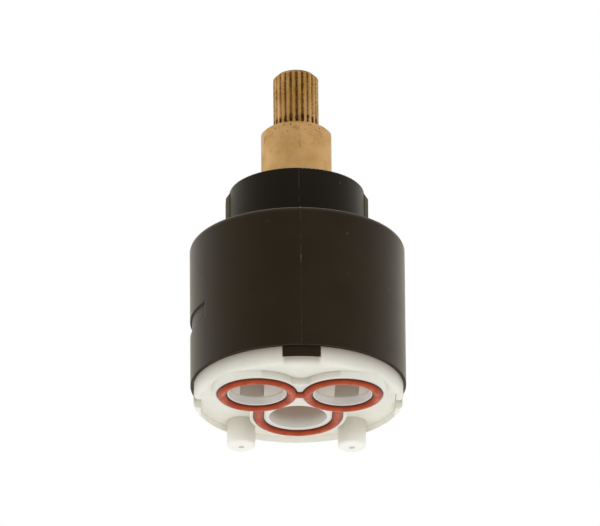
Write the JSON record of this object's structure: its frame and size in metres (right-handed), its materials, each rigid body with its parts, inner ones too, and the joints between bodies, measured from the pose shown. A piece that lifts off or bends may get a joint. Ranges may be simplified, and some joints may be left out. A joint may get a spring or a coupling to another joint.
{
  "type": "mixer tap cartridge",
  "caption": "Mixer tap cartridge with a black barrel, a splined brass spindle, and a white base with sealed inlet and outlet ports and locating pins.",
  "frame": {"origin": "on the spindle's axis, level with the barrel's lower edge", "axes": "+Z along the spindle towards its splined tip, -Y towards the locating key, +Y towards the outlet and the locating pins"},
  "size_m": [0.035, 0.035, 0.0613],
  "materials": {
    "black_moulding": "moulded glass-filled nylon, satin",
    "brass": "turned and lightly tarnished",
    "white_moulding": "moulded acetal, satin",
    "red_silicone": "moulded silicone, soft sheen",
    "black_rubber": "greased O-ring",
    "ceramic": "lapped alumina",
    "spring_steel": "stamped stainless steel",
    "slip_plastic": "natural low-friction plastic",
    "grey_moulding": "moulded plastic"
  },
  "bodies": {
    "valve_body": {"housing": "black_moulding", "neck_bush": "slip_plastic", "bush_oring": "black_rubber", "slip_washer": "slip_plastic", "stop_ring": "grey_moulding", "clip_washer": "spring_steel", "fixed_disc": "ceramic", "cold_inlet_seal": "red_silicone", "hot_inlet_seal": "red_silicone", "outlet_seal": "red_silicone", "base": "white_moulding", "port_seal": "red_silicone"},
    "spindle_assembly": {"spindle": "brass", "spindle_oring_upper": "black_rubber", "spindle_oring_lower": "black_rubber", "retaining_clip": "spring_steel", "disc_carrier": "grey_moulding", "carrier_seal": "black_rubber", "noise_screen": "spring_steel", "moving_disc": "ceramic"}
  },
  "joints": [
    {"name": "spindle_turn", "type": "hinge", "parent": "valve_body", "child": "spindle_assembly", "pos_m": [0, 0, 0.04], "axis": [0, 0, 1], "range_deg": [0, 130]}
  ]
}
